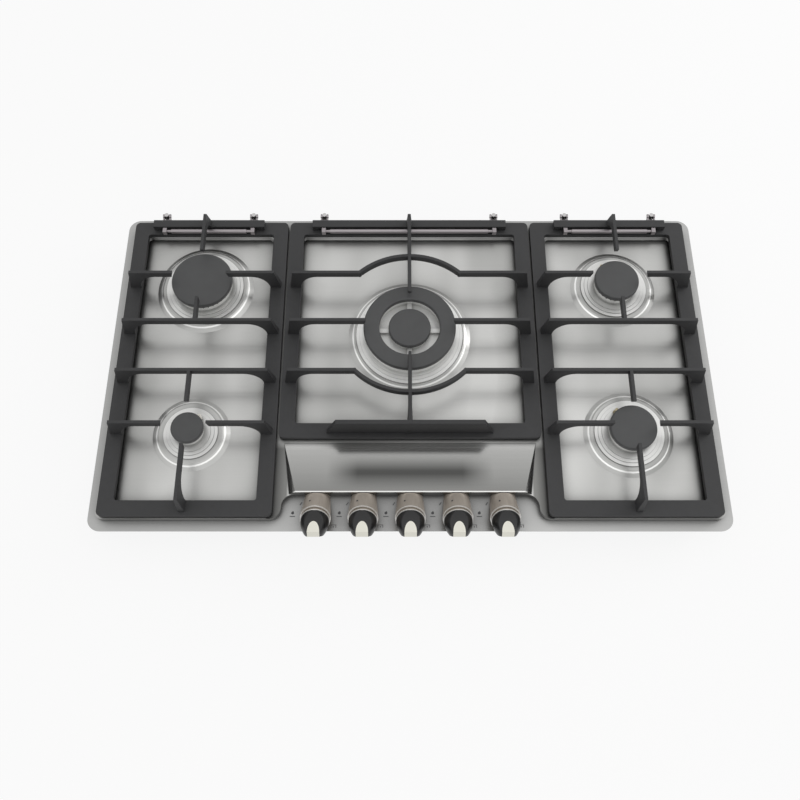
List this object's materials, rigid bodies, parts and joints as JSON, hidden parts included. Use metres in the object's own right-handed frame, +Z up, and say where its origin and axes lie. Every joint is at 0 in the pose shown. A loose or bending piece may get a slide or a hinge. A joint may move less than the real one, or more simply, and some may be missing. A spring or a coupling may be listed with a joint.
{
  "type": "gas cooktop",
  "caption": "Built-in gas cooktop: stainless steel top with gas burners, hinged cast iron pan grates and tilted control knobs along the front.",
  "frame": {"origin": "middle of the bounding box, on the underside of the burner box", "axes": "+X to the right along the width, +Y to the rear edge with the grate hinges, +Z up"},
  "size_m": [0.9, 0.5266, 0.116],
  "materials": {
    "stainless": "satin, fine horizontal brushing",
    "box_steel": "zinc coated sheet",
    "foam": "matt closed-cell foam",
    "fixing_steel": "plain zinc",
    "brass": "turned",
    "pale_plastic": "matt",
    "dark_plastic": "matt",
    "porcelain": "glazed",
    "sensor_metal": "heat tinted",
    "valve_alloy": "die cast",
    "bezel_metal": "satin metallic taupe",
    "bright_ring": "polished",
    "stem_steel": "turned",
    "knob_black": "semi-gloss black",
    "knob_ivory": "smooth ivory",
    "burner_alloy": "machined",
    "cap_enamel": "matt black enamel on steel",
    "grate_iron": "matt black enamel",
    "foot_rubber": "matt",
    "hinge_chrome": "satin chrome",
    "bush_plastic": "matt"
  },
  "bodies": {
    "plate": {"top_plate": "stainless", "burner_box": "box_steel", "worktop_seal": "foam", "worktop_clamps": "fixing_steel", "clamp_screws": "fixing_steel", "stud_nuts": "fixing_steel", "gas_rail": "box_steel", "gas_inlet": "brass", "gas_pipes": "valve_alloy", "injectors": "brass", "ignition_unit": "pale_plastic", "terminal_box": "dark_plastic", "electrodes": "porcelain", "flame_sensors": "sensor_metal", "gas_valves": "valve_alloy", "burner_screws": "fixing_steel", "knob_bezels": "bezel_metal", "bezel_rings": "bright_ring", "cup_rear_left": "burner_alloy", "cup_front_left": "burner_alloy", "cup_centre": "burner_alloy", "cup_rear_right": "burner_alloy", "cup_front_right": "burner_alloy", "crown_rear_left": "burner_alloy", "crown_front_left": "burner_alloy", "crown_centre": "burner_alloy", "crown_rear_right": "burner_alloy", "crown_front_right": "burner_alloy", "cap_rear_left": "cap_enamel", "cap_front_left": "cap_enamel", "cap_centre_ring": "cap_enamel", "cap_centre_inner": "cap_enamel", "cap_rear_right": "cap_enamel", "cap_front_right": "cap_enamel", "hinge_posts": "hinge_chrome", "hinge_bushes": "bush_plastic"},
    "stem_1": {"valve_stem_1": "stem_steel"},
    "knob_1": {"knob_1": "knob_black", "knob_insert_1": "knob_ivory"},
    "stem_2": {"valve_stem_2": "stem_steel"},
    "knob_2": {"knob_2": "knob_black", "knob_insert_2": "knob_ivory"},
    "stem_3": {"valve_stem_3": "stem_steel"},
    "knob_3": {"knob_3": "knob_black", "knob_insert_3": "knob_ivory"},
    "stem_4": {"valve_stem_4": "stem_steel"},
    "knob_4": {"knob_4": "knob_black", "knob_insert_4": "knob_ivory"},
    "stem_5": {"valve_stem_5": "stem_steel"},
    "knob_5": {"knob_5": "knob_black", "knob_insert_5": "knob_ivory"},
    "grate_left": {"grate_left": "grate_iron", "feet_left": "foot_rubber", "hinge_rod_left": "hinge_chrome"},
    "grate_centre": {"grate_centre": "grate_iron", "feet_centre": "foot_rubber", "hinge_rod_centre": "hinge_chrome"},
    "grate_right": {"grate_right": "grate_iron", "feet_right": "foot_rubber", "hinge_rod_right": "hinge_chrome"}
  },
  "joints": [
    {"name": "grate_left_lift", "type": "hinge", "parent": "plate", "child": "grate_left", "pos_m": [-0.315, 0.25578, 0.081], "axis": [-1, 0, 0], "range_deg": [0, 80]},
    {"name": "grate_centre_lift", "type": "hinge", "parent": "plate", "child": "grate_centre", "pos_m": [0, 0.25578, 0.081], "axis": [-1, 0, 0], "range_deg": [0, 80]},
    {"name": "grate_right_lift", "type": "hinge", "parent": "plate", "child": "grate_right", "pos_m": [0.315, 0.25578, 0.081], "axis": [-1, 0, 0], "range_deg": [0, 80]},
    {"name": "knob_1_turn", "type": "hinge", "parent": "plate", "child": "stem_1", "pos_m": [-0.1304, -0.23322, 0.0775], "axis": [0, -0.8192, 0.5736], "range_deg": [0, 210]},
    {"name": "knob_1_push", "type": "slide", "parent": "stem_1", "child": "knob_1", "axis": [0, 0.8192, -0.5736], "range_m": [0, 0.004], "stiffness_N_per_m": 1500, "springref_m": -0.002},
    {"name": "knob_2_turn", "type": "hinge", "parent": "plate", "child": "stem_2", "pos_m": [-0.0652, -0.23322, 0.0775], "axis": [0, -0.8192, 0.5736], "range_deg": [0, 210]},
    {"name": "knob_2_push", "type": "slide", "parent": "stem_2", "child": "knob_2", "axis": [0, 0.8192, -0.5736], "range_m": [0, 0.004], "stiffness_N_per_m": 1500, "springref_m": -0.002},
    {"name": "knob_3_turn", "type": "hinge", "parent": "plate", "child": "stem_3", "pos_m": [0, -0.23322, 0.0775], "axis": [0, -0.8192, 0.5736], "range_deg": [0, 210]},
    {"name": "knob_3_push", "type": "slide", "parent": "stem_3", "child": "knob_3", "axis": [0, 0.8192, -0.5736], "range_m": [0, 0.004], "stiffness_N_per_m": 1500, "springref_m": -0.002},
    {"name": "knob_4_turn", "type": "hinge", "parent": "plate", "child": "stem_4", "pos_m": [0.0652, -0.23322, 0.0775], "axis": [0, -0.8192, 0.5736], "range_deg": [0, 210]},
    {"name": "knob_4_push", "type": "slide", "parent": "stem_4", "child": "knob_4", "axis": [0, 0.8192, -0.5736], "range_m": [0, 0.004], "stiffness_N_per_m": 1500, "springref_m": -0.002},
    {"name": "knob_5_turn", "type": "hinge", "parent": "plate", "child": "stem_5", "pos_m": [0.1304, -0.23322, 0.0775], "axis": [0, -0.8192, 0.5736], "range_deg": [0, 210]},
    {"name": "knob_5_push", "type": "slide", "parent": "stem_5", "child": "knob_5", "axis": [0, 0.8192, -0.5736], "range_m": [0, 0.004], "stiffness_N_per_m": 1500, "springref_m": -0.002}
  ]
}
